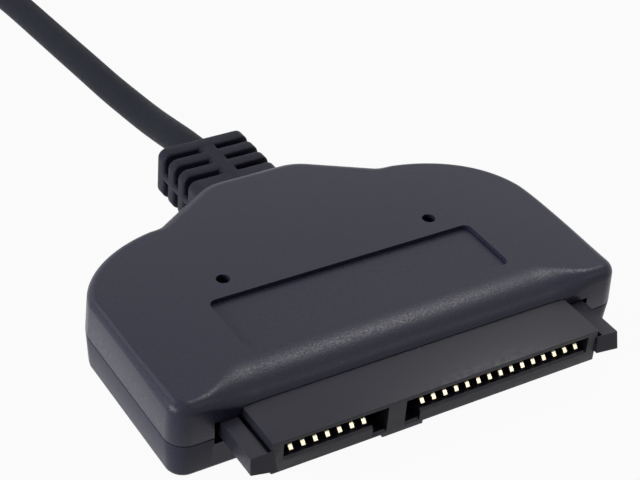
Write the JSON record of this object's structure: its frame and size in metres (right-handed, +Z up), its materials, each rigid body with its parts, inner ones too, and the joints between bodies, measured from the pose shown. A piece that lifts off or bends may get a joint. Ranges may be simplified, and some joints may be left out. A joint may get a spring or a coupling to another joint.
{
  "type": "usb to sata adapter",
  "caption": "Flat dark grey adapter housing with a SATA data and power receptacle on its front edge, a ribbed strain relief and a short USB lead.",
  "frame": {"origin": "bottom centre of the adapter's bounding box without its cord, on the surface it rests on", "axes": "+X along the connector's long face towards the power contacts, +Y from the connector to the cord, +Z up out of the recessed top"},
  "size_m": [0.0538, 0.1856, 0.0082],
  "materials": {
    "slate_plastic": "fine matt grain",
    "connector_plastic": "smooth satin",
    "relief_plastic": "soft satin",
    "cord_jacket": "smooth satin",
    "gold_contact": "thin bright gold plating",
    "board_green": "green board lacquer",
    "chip_black": "moulded matt",
    "ferrite_grey": "matt sintered",
    "ceramic_tan": "matt fired",
    "led_clear": "clear moulded",
    "plated_steel": "bright nickel plating",
    "wire_insulation": "smooth coloured insulation",
    "blue_insulator": "smooth moulded"
  },
  "bodies": {
    "root": {"top_cover": "slate_plastic", "bottom_cover": "slate_plastic", "connector_body": "connector_plastic", "contact_s1": "gold_contact", "contact_s2": "gold_contact", "contact_s3": "gold_contact", "contact_s4": "gold_contact", "contact_s5": "gold_contact", "contact_s6": "gold_contact", "contact_s7": "gold_contact", "contact_p1": "gold_contact", "contact_p2": "gold_contact", "contact_p3": "gold_contact", "contact_p4": "gold_contact", "contact_p5": "gold_contact", "contact_p6": "gold_contact", "contact_p7": "gold_contact", "contact_p8": "gold_contact", "contact_p9": "gold_contact", "contact_p10": "gold_contact", "contact_p11": "gold_contact", "contact_p12": "gold_contact", "contact_p13": "gold_contact", "contact_p14": "gold_contact", "contact_p15": "gold_contact", "circuit_board": "board_green", "bridge_chip": "chip_black", "crystal": "plated_steel", "regulator": "chip_black", "inductor": "ferrite_grey", "capacitor_input": "ceramic_tan", "capacitor_output": "ceramic_tan", "led_left": "led_clear", "led_right": "led_clear", "strain_relief": "relief_plastic", "wire_ground": "wire_insulation", "wire_power": "wire_insulation", "wire_data_minus": "wire_insulation", "wire_data_plus": "wire_insulation", "wire_send_minus": "wire_insulation", "wire_send_plus": "wire_insulation", "wire_receive_minus": "wire_insulation", "wire_receive_plus": "wire_insulation", "cable": "cord_jacket", "plug_grip": "relief_plastic", "plug_shell": "plated_steel", "plug_insulator": "blue_insulator", "plug_contact_1": "gold_contact", "plug_contact_2": "gold_contact", "plug_contact_3": "gold_contact", "plug_contact_4": "gold_contact", "plug_contact_5": "gold_contact", "plug_contact_6": "gold_contact", "plug_contact_7": "gold_contact", "plug_contact_8": "gold_contact", "plug_contact_9": "gold_contact"}
  },
  "joints": []
}
